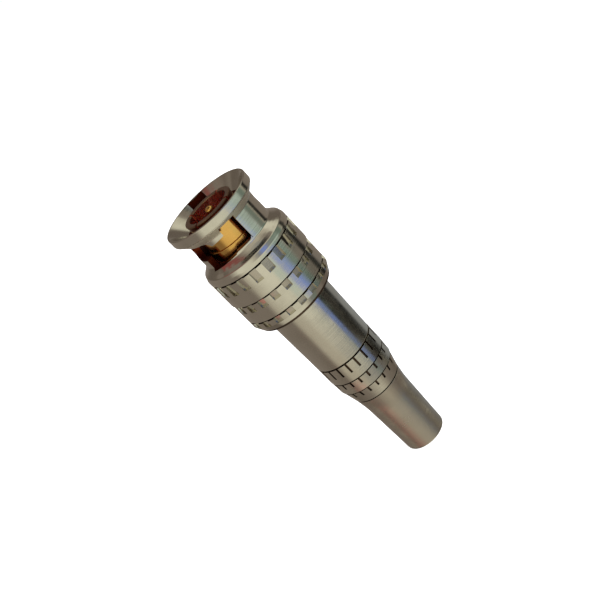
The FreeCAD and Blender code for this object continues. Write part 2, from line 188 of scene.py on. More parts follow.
def turned(name, outline, bearings=None, cut=None):
    """Piece with this outline carried round the axis; cut(radius, depth, bearing) lowers its radius."""
    if bearings is None:
        bearings = np.arange(ROUND_COLUMNS) * 360 / ROUND_COLUMNS
    radius, depth, bearing = outline[:, :1], outline[:, 1:], bearings[None, :]
    if cut is not None:
        radius = radius - cut(radius, depth, bearing)
    points = on_axis(radius, depth, bearing)
    return mesh_piece(name, points, grid_quads(*points.shape[:2], True, True))


def window(value, start, end, soft):
    """1 between start and end and 0 outside, with straight ramps a soft width wide at both ends."""
    rise = np.clip((value - start) / soft + 0.5, 0, 1)
    fall = np.clip((end - value) / soft + 0.5, 0, 1)
    return np.minimum(rise, fall)


print("window across a notch:", window(np.array([-1.0, 0.0, 1.0, 5.0]), 0.0, 4.0, 0.5))

# %% [markdown]
# Slots can't be turned: they are milled. A milled slot is a closed cutter taken away from the
# turned piece. The boolean is applied at once, so that the piece is a plain mesh afterwards.

# %% Milling
BAR_FACES = np.array([[0, 1, 3, 2], [4, 6, 7, 5], [0, 4, 5, 1], [2, 3, 7, 6], [0, 2, 6, 4], [1, 5, 7, 3]])


def milled(piece, cutters):
    """The piece with each closed cutter taken away, as a plain mesh; the cutters are removed."""
    for cutter in cutters:
        modifier = piece.modifiers.new("mill", "BOOLEAN")
        modifier.operation = "DIFFERENCE"
        modifier.solver = "EXACT"
        modifier.object = cutter
    bpy.context.view_layer.update()
    result = bpy.data.meshes.new_from_object(piece.evaluated_get(bpy.context.evaluated_depsgraph_get()))
    piece.modifiers.clear()
    piece.data = result
    for cutter in cutters:
        bpy.data.objects.remove(cutter)
    return piece


def bar(name, width, inner, outer, front, rear, bearing):
    """Square-cornered cutter that stands out along a bearing, its sides a width apart: its eight
    corners are every pairing of two sides, the radii inner and outer and the depths front and rear."""
    side, reach, level = np.broadcast_arrays(np.array([-width, width]) / 2, np.array([[inner], [outer]]),
                                             np.array([[[front]], [[rear]]]))
    turn = math.radians(bearing)
    x = side * math.cos(turn) + reach * math.sin(turn)
    y = side * math.sin(turn) - reach * math.cos(turn)
    eight = np.stack([x, y, LENGTH - level], axis=-1).reshape(8, 3) * MM
    return mesh_piece(name, eight, BAR_FACES)


print("faces of a bar:", len(BAR_FACES))

# %% [markdown]
# The bayonet slot of one stud: a straight entry, a ramp that winds back round the sleeve and a
# round-ended pocket where the stud locks. Seen along the bearings its front and rear edges are two
# curves, so the cutter is a rectangle carried round the sleeve with those curves as its height. The
# ramp stops a hair short of the round corners beside it, so that no two columns of points cross.

# %% The slot's sizes
ENTRY_BEARING = 3.2
ENTRY_HALF = 1.4
WINDOW_FRONT = 1.9
WINDOW_CORNER = 0.7
SLOT_FRONT = 3.15
SLOT_REAR = 6.4
SLOT_SWEEP = 65.0
SLOT_LEAD = 0.7
POCKET_MIDDLE = 3.95
POCKET_HALF = 1.35
POCKET_FRONT, POCKET_REAR = POCKET_MIDDLE - POCKET_HALF, POCKET_MIDDLE + POCKET_HALF
POCKET_START = -46.0
POCKET_END = ENTRY_BEARING - 90.0
SLEEVE_R = 5.9
STEP = 0.002
RAMP_CLEAR = 0.3
print("slot runs over", round(ENTRY_BEARING - POCKET_END), "degrees")

# %% The slot's two edges


def ramp_depth(edge, bearing):
    """Depth of the ramp's edge, which goes back by SLOT_LEAD over SLOT_SWEEP degrees."""
    return edge + SLOT_LEAD / SLOT_SWEEP * (ENTRY_BEARING - bearing)


def columns(bearing, side, front, rear):
    """Columns of the cutter as rows of bearing, sideways offset, front depth and rear depth."""
    return np.stack(np.broadcast_arrays(bearing, side, front, rear), axis=-1)


def slot_columns(inner):
    """All columns of a slot from its pocket to its entry, for a cutter whose inner radius this is."""
    angle = np.linspace(-math.pi / 2, 0, 13)[1:]
    rise = POCKET_HALF * np.cos(angle)
    round_end = columns(POCKET_END, POCKET_HALF * np.sin(angle), POCKET_MIDDLE - rise, POCKET_MIDDLE + rise)
    ramp_end = ENTRY_BEARING - SLOT_SWEEP
    pocket = columns(np.linspace(POCKET_END, ramp_end - STEP, 8)[1:], 0.0, POCKET_FRONT, POCKET_REAR)
    around = np.linspace(ramp_end, POCKET_START, 4)
    mouth = columns(around, 0.0, POCKET_FRONT, ramp_depth(SLOT_REAR, around))
    angle = np.linspace(0, math.pi / 2, 9)[1:]
    side = POCKET_HALF * np.sin(angle)
    around = POCKET_START + np.degrees(np.arcsin(side / SLEEVE_R))
    front = np.minimum(POCKET_MIDDLE - POCKET_HALF * np.cos(angle), ramp_depth(SLOT_FRONT, around))
    shoulder = columns(POCKET_START, side, front, ramp_depth(SLOT_REAR, around))
    ramp_from = POCKET_START + math.degrees(math.asin(POCKET_HALF / inner)) + RAMP_CLEAR
    ramp_to = ENTRY_BEARING - math.degrees(math.asin(ENTRY_HALF / inner)) - RAMP_CLEAR
    around = np.linspace(ramp_from, ramp_to, 6)
    ramp = columns(around, 0.0, ramp_depth(SLOT_FRONT, around), ramp_depth(SLOT_REAR, around))
    entry = columns(ENTRY_BEARING, np.array([-ENTRY_HALF - STEP, -ENTRY_HALF]),
                    np.array([SLOT_FRONT, WINDOW_FRONT]), SLOT_REAR)
    angle = np.linspace(0, math.pi / 2, 7)
    corner = columns(ENTRY_BEARING, ENTRY_HALF - WINDOW_CORNER * (1 - np.sin(angle)), WINDOW_FRONT,
                     SLOT_REAR - WINDOW_CORNER * (1 - np.cos(angle)))
    return np.concatenate([round_end, pocket, mouth, shoulder, ramp, entry, corner])


print("ramp's rear edge where it ends:", round(ramp_depth(SLOT_REAR, POCKET_START), 2))

# %% The slot's cutter
CUT_INNER, CUT_OUTER = 4.6, 7.6


def slot_cutter(name, turn):
    """Closed cutter of one slot, turned by this many degrees. A column's sideways offset in mm keeps
    the entry's sides parallel and the pocket's end round: r sin(b - b0) = offset."""
    base, side, front, rear = slot_columns(CUT_INNER).T
    radius = np.array([CUT_INNER, CUT_OUTER, CUT_OUTER, CUT_INNER])[None, :]
    depth = np.stack([front, front, rear, rear], axis=1)
    bearing = base[:, None] + turn + np.degrees(np.arcsin(side[:, None] / radius))
    count = len(base)
    quads = grid_quads(count, 4, False, True)
    ends = np.array([[0, 3, 2, 1], [4 * count - 4, 4 * count - 3, 4 * count - 2, 4 * count - 1]])
    return mesh_piece(name, on_axis(radius, depth, bearing), np.concatenate([quads, ends]))


print("columns of the slot's cutter:", len(slot_columns(CUT_INNER)))

# %% [markdown]
# The coupling sleeve. The funnel mouth guides the socket in, the flange takes the finger's push, and
# the grip has three bands of shallow notches, each cut with one stroke that starts high and ends in
# a steep shoulder. The notches follow one rule round the sleeve, so they are a cut for the lathe:
# a wedge along the depth times a window on the bearing.

# %% The coupling sleeve's sizes
BORE_R = 4.9
REAR_BORE_R = 5.55
FUNNEL_R = 6.95
FUNNEL_DEPTH = 2.05
FLANGE_R = 7.25
FLANGE_RIM = 1.35
FLANGE_BACK = 2.7
GRIP_R = 7.38
LOWER_R = 7.26
FLARE = [(SLEEVE_R, 6.7, 0.15), (6.3, 7.15, 0.15), (6.65, 7.5, 0.15), (7.16, 7.9, 0.12)]
CROWN_END = 8.6
BAND_STARTS = np.array([9.1, 13.46, 16.96])
BAND_RADII = np.array([GRIP_R, LOWER_R, LOWER_R])
BAND_NOTCHES = np.array([1.9, 1.2, 0.9])
GRIP_END = 19.5
GRIP_TAPER = 18.15
REAR_EDGE_R = 6.6
REAR_SHADOW = 0.45
REAR_SHADOW_R = REAR_EDGE_R + (LOWER_R - REAR_EDGE_R) * REAR_SHADOW / (GRIP_END - GRIP_TAPER)
SHOULDER = 8.5
RING_FRONT, RING_REAR, RING_GROOVE_R = 11.5, 12.1, 6.02
GROOVE_WIDTH = 0.28
GROOVE_CUT = 0.5
NOTCH_OFFSET = 0.12
NOTCH_CUTS = (0.28, 0.45)
NOTCH_COUNT = 20
PITCH_ANGLE = 360.0 / NOTCH_COUNT
NOTCH_SOFT = 0.05
print("grip from", CROWN_END, "to", GRIP_END, "mm below the mouth")

# %% The coupling sleeve's outline


def groove_corners(radius_front, radius_rear, start, width):
    """Three corners of a V groove."""
    return [(radius_front, start, 0.02), (radius_front - GROOVE_CUT, start + width / 2, 0.02),
            (radius_rear, start + width, 0.02)]


notch_starts = BAND_STARTS + NOTCH_OFFSET + GROOVE_WIDTH / 2
sleeve_corners = [
    (BORE_R, FUNNEL_DEPTH, 0.08), (FUNNEL_R, 0, 0.04), (FLANGE_R, 0, 0.15),
    (FLANGE_R, FLANGE_RIM, 0.12), (SLEEVE_R, FLANGE_BACK, 0.1)]
sleeve_corners += FLARE + [(GRIP_R, CROWN_END, 0.1)]
# A notch's rear end has a corner of its own, so that the grid has rows there. Its front end is in a
# groove, which has rows already.
for before, radius, start, notch_end in zip(
        (GRIP_R, *BAND_RADII), BAND_RADII, BAND_STARTS, notch_starts + BAND_NOTCHES):
    sleeve_corners += groove_corners(before, radius, start, GROOVE_WIDTH)
    sleeve_corners += [(radius, notch_end, NOTCH_SOFT)]
sleeve_corners += [
    (LOWER_R, GRIP_TAPER, 0.12), (REAR_SHADOW_R, GRIP_END - REAR_SHADOW, 0.02),
    (REAR_EDGE_R, GRIP_END, 0.1), (REAR_BORE_R, GRIP_END, 0.08),
    (REAR_BORE_R, RING_REAR), (RING_GROOVE_R, RING_REAR), (RING_GROOVE_R, RING_FRONT),
    (REAR_BORE_R, RING_FRONT), (REAR_BORE_R, SHOULDER), (BORE_R, SHOULDER)]
sleeve_outline = rounded(sleeve_corners)
print("rows in the sleeve's outline:", len(sleeve_outline))

# %% Notches as a cut
NOTCH_EDGE = 0.4


def notch_cut(starts, lengths, cuts, first, span, least_radius):
    """Cut function: between a notch's two ends the depth goes evenly from one cut to the other,
    and it is there only inside the notch's span of bearings, again every PITCH_ANGLE."""

    def cut(radius, depth, bearing):
        around = (bearing - first) % PITCH_ANGLE
        around = np.where(around > (PITCH_ANGLE + span) / 2, around - PITCH_ANGLE, around)
        share = window(around, 0.0, span, NOTCH_EDGE)
        total = np.zeros(np.broadcast(radius, bearing).shape)
        for start, length in zip(starts, lengths):
            along = np.clip((depth - start) / length, 0, 1)
            wedge = cuts[0] + (cuts[1] - cuts[0]) * along
            total = total + wedge * window(depth, start, start + length, NOTCH_SOFT) * share
        return np.where(radius > least_radius, total, 0.0)

    return cut


def notch_columns(first, span, flat_steps):
    """Bearings of the columns: close pairs at both sides of every notch and even steps between."""
    half = NOTCH_EDGE / 2
    inside = np.linspace(half, span - half, flat_steps)
    outside = np.linspace(span + half, PITCH_ANGLE - half, flat_steps + 1)
    one = first + np.concatenate([inside, outside])
    return (one[None, :] + np.arange(NOTCH_COUNT)[:, None] * PITCH_ANGLE).ravel()


print("columns round notches of 9 degrees:", len(notch_columns(0.0, 9.0, 5)))

# %% [markdown]
# The sleeve is turned with its notches and then milled: two slots half a turn apart, a groove in the
# bore in front of each for the stud's tip, and a lead-in that opens the flange. The two bars begin in
# the open bore and in front of the mouth, where there is nothing to cut.

# %% The sleeve, turned and milled
GRIP_SPAN = 9.0
GRIP_COLUMNS = 5
STUD_TIP_R = 5.75
LEAD_IN_R = 6.85
BAR_INNER, BAR_FRONT = 0.5, -2.0
sleeve = turned("sleeve_turned", sleeve_outline, notch_columns(0.0, GRIP_SPAN, GRIP_COLUMNS),
                notch_cut(notch_starts, BAND_NOTCHES, NOTCH_CUTS, 0.0, GRIP_SPAN, REAR_EDGE_R))
half_turns = (0.0, 180.0)
cutters = [slot_cutter("slot", turn) for turn in half_turns]
for cutter_name, outer, rear in (("groove", STUD_TIP_R, SLOT_REAR), ("lead_in", LEAD_IN_R, FLANGE_RIM)):
    cutters += [bar(cutter_name, 2 * ENTRY_HALF, BAR_INNER, outer, BAR_FRONT, rear, ENTRY_BEARING + turn)
                for turn in half_turns]
shade(milled(sleeve, cutters))
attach(sleeve, "coupling")
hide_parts("coupling_sleeve")
print("sleeve faces:", len(sleeve.data.polygons))

# %% [markdown]
# Threads. The construction model keeps them as plain cylinders, and they show only when the plug is
# taken apart. A thread is a cut too: a triangle wave of the distance along the axis, which moves on
# by one pitch for each turn. Five rows of points a turn are enough for it to read as a thread.

# %% Threads as a cut
THREAD_PITCH = 0.75
THREAD_DEPTH = 0.3
THREAD_ROW = 0.15
THREAD_BAND = 0.05


def thread_rows(radius, front, rear):
    """Corners that give the grid close rows along a threaded stretch."""
    depths = np.arange(front + THREAD_ROW, rear - THREAD_ROW / 2, THREAD_ROW)
    return [(radius, depth, THREAD_ROW / 4) for depth in depths]


def thread_cut(front, rear, wall, sign):
    """Cut function of a right-handed thread between two depths, on the wall of this radius; sign is
    1 for a screw, whose roots go in, and -1 for a nut, whose roots go out."""

    def cut(radius, depth, bearing):
        turns = (LENGTH - depth) / THREAD_PITCH - bearing / 360
        wave = np.abs((turns % 1) * 2 - 1)
        there = window(depth, front + THREAD_PITCH / 2, rear - THREAD_PITCH / 2, THREAD_PITCH / 2)
        on_wall = np.abs(radius - wall) < THREAD_BAND
        return np.where(on_wall, sign * THREAD_DEPTH * wave * there, 0.0)

    return cut


print("rows of points for one turn of a thread:", round(THREAD_PITCH / THREAD_ROW))

# %% [markdown]
# The barrel is the long bright shell behind the grip. It is straight as far as the grip covers it
# and tapers by a hair from there to the tail, which is what bends its reflections slightly. Inside
# it has a thread at each end and a web between, on which the cable collet rests.

# %% The barrel
BARREL_FRONT, BARREL_END = 12.7, 30.6
BARREL_FRONT_R, BARREL_REAR_R = 5.27, 5.05
NECK_END, NECK_BORE_R = 17.5, 4.45
SPIGOT_FRONT, SPIGOT_BORE_R = 27.7, 4.2
JOINT_ROOM_FRONT, JOINT_ROOM_R = 17.8, 3.95
WEB_FRONT, WEB_END, WEB_R = 23.55, 24.25, 2.95
barrel_corners = [(NECK_BORE_R, BARREL_FRONT, 0.1), (BARREL_FRONT_R, BARREL_FRONT, 0.1),
                  (BARREL_FRONT_R, GRIP_END, 0.4), (BARREL_REAR_R, BARREL_END, 0.12),
                  (SPIGOT_BORE_R, BARREL_END, 0.1)]
barrel_corners += thread_rows(SPIGOT_BORE_R, SPIGOT_FRONT, BARREL_END)[::-1]
barrel_corners += [(SPIGOT_BORE_R, WEB_END), (WEB_R, WEB_END), (WEB_R, WEB_FRONT),
                   (JOINT_ROOM_R, WEB_FRONT), (JOINT_ROOM_R, JOINT_ROOM_FRONT),
                   (NECK_BORE_R, JOINT_ROOM_FRONT)]
barrel_corners += thread_rows(NECK_BORE_R, BARREL_FRONT, NECK_END)[::-1]
front_thread = thread_cut(BARREL_FRONT, NECK_END, NECK_BORE_R, -1)
rear_thread = thread_cut(SPIGOT_FRONT, BARREL_END, SPIGOT_BORE_R, -1)
barrel = turned("barrel_turned", rounded(barrel_corners),
                cut=lambda r, d, b: front_thread(r, d, b) + rear_thread(r, d, b))
shade(barrel)
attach(barrel, "barrel")
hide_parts("barrel")
print("barrel faces:", len(barrel.data.polygons))

# %% [markdown]
# The tail nut: three bands with narrow slits, each a little smaller than the last, then a long
# satin tube with a rounded end that keeps the cable from bending sharply. Its threaded spigot goes
# into the barrel.

# %% The tail nut's sizes
TAIL_STARTS = np.array([30.6, 33.8, 36.1])
TAIL_END = 38.7
TAIL_FRONT_RADII = (5.07, 5.03, 4.85)
TAIL_REAR_RADII = (5.05, 4.92, 4.28)
TAIL_NOTCHES = np.array([1.8, 1.0, 1.0])
TAIL_NOTCH_CUTS = (0.22, 0.22)
TAIL_NOTCH_LEAST_R = 4.25
TAIL_SPAN = 3.6
TAIL_GROOVE = 0.22
NECK_R, NECK_LENGTH = 4.22, 2.6
TUBE_FRONT_R, TUBE_REAR_R = 3.88, 3.5
CABLE_BORE_R = 2.75
SPIGOT_R = 4.15
SPIGOT_THREAD_END = BARREL_END - 0.3
TAIL_COLUMNS = 4
print("tail nut behind the barrel in mm:", round(LENGTH - BARREL_END, 1))

# %% The tail nut
tail_notch_starts = TAIL_STARTS + NOTCH_OFFSET
tail_corners = [(CABLE_BORE_R, SPIGOT_FRONT, 0.1), (SPIGOT_R, SPIGOT_FRONT, 0.15)]
tail_corners += thread_rows(SPIGOT_R, SPIGOT_FRONT, SPIGOT_THREAD_END)
tail_corners += [(SPIGOT_R, BARREL_END, 0.03)]
tail_band_ends = np.append(TAIL_STARTS[1:], TAIL_END)
for start, end, front_r, rear_r, notch_start, notch in zip(
        TAIL_STARTS, tail_band_ends, TAIL_FRONT_RADII, TAIL_REAR_RADII, tail_notch_starts, TAIL_NOTCHES):
    slope = (rear_r - front_r) / (end - start)
    tail_corners += groove_corners(front_r, front_r + slope * TAIL_GROOVE, start, TAIL_GROOVE)
    notch_end = notch_start + notch
    tail_corners += [(front_r + slope * (notch_end - start), notch_end, NOTCH_SOFT)]
    tail_corners += [(rear_r, end, 0.02)]
tail_corners += groove_corners(NECK_R, NECK_R, TAIL_END, TAIL_GROOVE)
tail_corners += [(TUBE_FRONT_R, TAIL_END + NECK_LENGTH, 1.2)]
tail_corners += [(TUBE_REAR_R, LENGTH, 0.35), (CABLE_BORE_R, LENGTH, 0.08)]
tail_notches = notch_cut(tail_notch_starts, TAIL_NOTCHES, TAIL_NOTCH_CUTS, -TAIL_SPAN / 2, TAIL_SPAN,
                         TAIL_NOTCH_LEAST_R)
spigot_thread = thread_cut(SPIGOT_FRONT, SPIGOT_THREAD_END, SPIGOT_R, 1)
tail = turned("tail_turned", rounded(tail_corners),
              notch_columns(-TAIL_SPAN / 2, TAIL_SPAN, TAIL_COLUMNS),
              lambda r, d, b: np.where(d > BARREL_END, tail_notches(r, d, b), spigot_thread(r, d, b)))
shade(tail)
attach(tail, "tail")
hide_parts("tail_nut")
print("tail faces:", len(tail.data.polygons))

# %% [markdown]
# The gold-plated parts: the slotted contact tube that shows in the mouth and behind the slots, and
# the body behind it with its collar, flange and threaded neck. Four slits let the tube's lip give a
# little when it goes into the socket.

# %% The contact tube
CONTACT_FRONT = 0.4
CONTACT_LIP_END, CONTACT_LIP_R = 1.02, 4.17
CONTACT_R, CONTACT_BORE_R = 4.05, 3.3
COLLAR_FRONT = 5.55
SEAT_END, SEAT_R = 8.15, 3.75
SLIT_END, SLIT_WIDTH = 3.25, 0.35
contact = turned("contact_tube", rounded([
    (CONTACT_BORE_R, CONTACT_FRONT, 0.15), (CONTACT_LIP_R, CONTACT_FRONT, 0.2),
    (CONTACT_R, CONTACT_LIP_END, 0.2), (CONTACT_R, COLLAR_FRONT, 0.06), (SEAT_R, COLLAR_FRONT),
    (SEAT_R, SEAT_END), (CONTACT_BORE_R, SEAT_END)]))
slits = [bar("slit", SLIT_WIDTH, CONTACT_BORE_R - 0.8, CONTACT_R + 0.95, CONTACT_FRONT - 1, SLIT_END, bearing)
         for bearing in (45, 135, 225, 315)]
shade(milled(contact, slits))
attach(contact, "plug_body")
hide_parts("outer_contact")
print("contact faces:", len(contact.data.polygons))

# %% The body
COLLAR_R = 4.25
WAVE_FRONT, BODY_FLANGE_R = 10.0, 5.45
RING_SEAT_R, BODY_NECK_R = 4.75, 4.4
BEAD_SEAT_END = 9.5
BODY_BORE_R = 2.6
CLAMP_SEAT_FRONT, CLAMP_SEAT_R = 15.8, 3.2
body_corners = [(SEAT_R, COLLAR_FRONT), (COLLAR_R, COLLAR_FRONT, 0.12), (COLLAR_R, SHOULDER),
                (BODY_FLANGE_R, SHOULDER, 0.08), (BODY_FLANGE_R, WAVE_FRONT, 0.08),
                (RING_SEAT_R, WAVE_FRONT), (RING_SEAT_R, BARREL_FRONT), (BODY_NECK_R, BARREL_FRONT)]
body_corners += thread_rows(BODY_NECK_R, BARREL_FRONT, NECK_END)
body_corners += [(BODY_NECK_R, NECK_END, 0.15), (CLAMP_SEAT_R, NECK_END, 0.08),
                 (CLAMP_SEAT_R, CLAMP_SEAT_FRONT), (BODY_BORE_R, CLAMP_SEAT_FRONT),
                 (BODY_BORE_R, BEAD_SEAT_END), (CONTACT_BORE_R, BEAD_SEAT_END),
                 (CONTACT_BORE_R, SEAT_END), (SEAT_R, SEAT_END)]
body = turned("body_turned", rounded(body_corners),
              cut=thread_cut(BARREL_FRONT, NECK_END, BODY_NECK_R, 1))
shade(body)
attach(body, "plug_body")
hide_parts("contact_body")
print("body faces:", len(body.data.polygons))

# %% [markdown]
# The pin is a solid of revolution that reaches the axis, so its grid is open along the section and
# both ends close in a pole. Its tip is a quarter of an ellipse. Its solder cup has a window for the
# iron, milled at the rear.

# %% Centre pin
PIN_FRONT, PIN_REAR = 0.4, 20.95
PIN_TIP_R, PIN_TIP_LENGTH, PIN_TIP_END = 0.675, 0.54, 5.0
PIN_R = 1.0
PIN_FLANGE_R, PIN_FLANGE_FRONT, PIN_FLANGE_END = 1.5, 9.52, 10.3
CUP_R, CUP_FRONT, CUP_POINT = 0.55, 16.95, 16.4
CUP_WINDOW = 1.1
PIN_COLUMNS = 96
tip_angle = np.linspace(0, math.pi / 2, 9)
pin_tip = np.stack([PIN_TIP_R * np.sin(tip_angle),
                    PIN_FRONT + PIN_TIP_LENGTH * (1 - np.cos(tip_angle))], axis=1)
pin_steps = rounded([
    (0.0, PIN_TIP_END), (PIN_TIP_R, PIN_TIP_END, 0.05), (PIN_R, PIN_TIP_END, 0.12),
    (PIN_R, PIN_FLANGE_FRONT), (PIN_FLANGE_R, PIN_FLANGE_FRONT), (PIN_FLANGE_R, PIN_FLANGE_END),
    (PIN_R, PIN_FLANGE_END), (PIN_R, PIN_REAR, 0.08), (CUP_R, PIN_REAR, 0.05),
    (CUP_R, CUP_FRONT, 0.1), (0.0, CUP_POINT)])
rows_per_corner = CORNER_STEPS + 3
pin_outline = np.concatenate([pin_tip, pin_steps[rows_per_corner:-rows_per_corner], [[0.0, CUP_POINT]]])
pin_bearings = np.arange(PIN_COLUMNS)[None, :] * 360 / PIN_COLUMNS
pin_points = on_axis(pin_outline[:, :1], pin_outline[:, 1:], pin_bearings)
pin = mesh_piece("pin_turned", pin_points, grid_quads(len(pin_outline), PIN_COLUMNS, False, True))
shade(milled(pin, [bar("cup_window", CUP_WINDOW, 0.0, 2 * PIN_R, PIN_REAR - 2.4, PIN_REAR + 1, 0.0)]))
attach(pin, "plug_body")
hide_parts("centre_pin")
print("pin faces:", len(pin.data.polygons))

# %% [markdown]
# The wave washer is a thin strip ring whose height follows a cosine with three waves a turn. It is
# the spring that pulls the sleeve on to the socket, so it flattens when the sleeve is pushed.

# %% Wave washer
WAVE_INNER_R, WAVE_OUTER_R = 4.95, 5.45
WAVE_STRIP = 0.25
WAVES, WAVE_SWING = 3, 0.355
WAVE_MIDDLE = 10.5
wave_columns = np.arange(180)[None, :] * 2.0
strip_half = WAVE_STRIP / 2
wave_section = rounded([(WAVE_INNER_R, -strip_half, 0.04), (WAVE_OUTER_R, -strip_half, 0.04),
                        (WAVE_OUTER_R, strip_half, 0.04), (WAVE_INNER_R, strip_half, 0.04)])
wave_height = -WAVE_SWING * np.cos(np.radians(WAVES * wave_columns))
wave_points = on_axis(wave_section[:, :1], WAVE_MIDDLE + wave_section[:, 1:] + wave_height, wave_columns)
wave = mesh_piece("wave_spring", wave_points, grid_quads(*wave_points.shape[:2], True, True))
shade(wave)
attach(wave, "plug_body")
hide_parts("wave_washer")
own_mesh(wave)
print("wave washer faces:", len(wave.data.polygons))

# %% [markdown]
# Finishes. One function reads colours as they are written on a colour card and turns them into the
# linear values that the renderer adds up, and one adds a node with its settings and links.

# %% Colour and node helpers


def linear(code):
    """sRGB hex code to linear RGBA: c / 12.92 below 0.04045, else ((c + 0.055) / 1.055) ^ 2.4."""
    value = np.array([int(code[index:index + 2], 16) for index in (1, 3, 5)]) / 255
    value = np.where(value <= 0.04045, value / 12.92, ((value + 0.055) / 1.055) ** 2.4)
    return (*value.tolist(), 1.0)


def add(tree, kind, sockets=None, **settings):
    """Add a node, set its settings, and give each named socket a value or another node's output."""
    node = tree.nodes.new(kind)
    for key, value in settings.items():
        setattr(node, key, value)
    for key, value in (sockets or {}).items():
        if isinstance(value, bpy.types.NodeSocket):
            tree.links.new(value, node.inputs[key])
        else:
            node.inputs[key].default_value = value
    return node


def new_material(name):
    """Empty node material with its output; returns the material, its tree and the output."""
    material = bpy.data.materials.new(name)
    material.use_nodes = True
    material.node_tree.nodes.clear()
    return material, material.node_tree, material.node_tree.nodes.new("ShaderNodeOutputMaterial")


print("middle grey is linear", round(linear("#808080")[0], 3))

# %% [markdown]
# Turned and plated metal. A lathe leaves fine rings round the axis: on a cylinder they follow the
# height and on a face the radius. A noise that reads only those two numbers gives rings that never
# repeat. Real feed marks are 0.05 to 0.1 mm apart, finer than this picture can show, so they are
# drawn about three times as coarse. Plating also clouds a little, which shows as a slow change of
# roughness and tint. Bores, slots and grooves get darker, duller metals, which are painted shade, and
# the flange's back a paler one, which is painted light.

# %% Turned metal
RING_SPACING = 0.22
CLOUD_SIZE = 3.0


def turned_metal(name, colour, stain, roughness, ring_depth):
    """Plated turned metal: metallic, with ring marks as bump and cloudy roughness and tint."""
    material, tree, output = new_material(name)
    place = add(tree, "ShaderNodeTexCoord").outputs["Object"]
    split = add(tree, "ShaderNodeSeparateXYZ", {0: place})
    flat = add(tree, "ShaderNodeCombineXYZ", {0: split.outputs[0], 1: split.outputs[1]})
    radius = add(tree, "ShaderNodeVectorMath", {0: flat.outputs[0]}, operation="LENGTH")
    rings_at = add(tree, "ShaderNodeCombineXYZ", {0: radius.outputs["Value"], 1: split.outputs[2]})
    rings = add(tree, "ShaderNodeTexNoise",
                {"Vector": rings_at.outputs[0], "Scale": 1 / (RING_SPACING * MM), "Detail": 3.0,
                 "Roughness": 0.6}, noise_dimensions="2D")
    cloud = add(tree, "ShaderNodeTexNoise",
                {"Vector": place, "Scale": 1 / (CLOUD_SIZE * MM), "Detail": 4.0, "Roughness": 0.55})
    tint = add(tree, "ShaderNodeMix", {0: cloud.outputs["Fac"], 6: linear(colour), 7: linear(stain)},
               data_type="RGBA")
    rough = add(tree, "ShaderNodeMapRange",
                {"Value": cloud.outputs["Fac"], "From Min": 0.3, "From Max": 0.7,
                 "To Min": roughness[0], "To Max": roughness[1]})
    bump = add(tree, "ShaderNodeBump",
               {"Height": rings.outputs["Fac"], "Strength": 1.0, "Distance": ring_depth * MM})
    shader = add(tree, "ShaderNodeBsdfPrincipled",
                 {"Base Color": tint.outputs[2], "Metallic": 1.0, "Roughness": rough.outputs["Result"],
                  "Normal": bump.outputs["Normal"]})
    tree.links.new(shader.outputs[0], output.inputs[0])
    return material


print("rings of the lathe drawn", round(RING_SPACING / 0.07), "times as coarse as they are")

# %% [markdown]
# The metals. One function makes them all, because one lathe cut them all, and they differ in colour,
# roughness and depth of the rings. Two colours each are enough: the clouds mix them.

# %% The metals
# Nickel on turned brass: a slightly warm mirror that shows the room in long sharp streaks.
nickel = turned_metal("bright nickel plate", "#D6D2C4", "#BDB9AA", (0.1, 0.2), 0.004)
# Nickel on brass that was brushed before plating: the same streaks, softer and a little darker.
satin_nickel = turned_metal("satin nickel plate", "#C6BFB0", "#B1A99B", (0.2, 0.28), 0.008)
# Gold on turned brass: yellow in its lights and brown in its shades, because it tints what it mirrors.
gold = turned_metal("gold plate", "#E9BE70", "#D9A653", (0.12, 0.24), 0.004)
# Bare rolled spring steel: grey, with wide soft highlights.
spring_steel = turned_metal("plain spring steel", "#A5A39C", "#8E8C86", (0.3, 0.42), 0.006)
# Walls left by the milling cutter and the boring tool, and the contact tube behind its lip: dark
# red-brown painted shade, so that slots and bore look deep.
shade_on_cut_walls = turned_metal("cut walls in painted shade", "#7E3418", "#45180C", (0.3, 0.45), 0.01)
# Walls of the narrow grooves and slits, and the chamfer at the grip's rear end: dull brown painted shade,
# which draws lines round grip and tail.
shade_in_grooves = turned_metal("groove walls in painted shade", "#5E4C3C", "#40342A", (0.35, 0.5), 0.01)
# The flange's back, cut by a form tool and left rough, with no mirror image in it: its pale, even colour,
# lighter than the nickel, is painted light.
form_cut_painted_light = turned_metal("form-tool cut with painted light", "#E6E0D0", "#CFC8B8", (0.45, 0.55), 0.01)
# Gold in the contact's bore: rosier and darker than the outside, which is painted shade.
bore_gold_in_shade = turned_metal("gold in the bore in painted shade", "#DC8F7C", "#C87A66", (0.2, 0.35), 0.008)
# Gold on the contact's lip: browner and duller, with less yellow, which is painted shade.
lip_gold_in_shade = turned_metal("gold on the lip in painted shade", "#9A7E66", "#7E6048", (0.3, 0.4), 0.008)
print("metals:", [m.name for m in (nickel, satin_nickel, gold, spring_steel, shade_on_cut_walls, shade_in_grooves,
                                   form_cut_painted_light, bore_gold_in_shade, lip_gold_in_shade)])

# %% [markdown]
# The inside pieces are plastic and rubber. Turned white fluoroplastic is waxy: light goes a little
# way in and comes out again. Silicone and rubber are duller, with a fine grain from the mould.

# %% Plastics and rubber
GLOW_DEPTH = 0.5


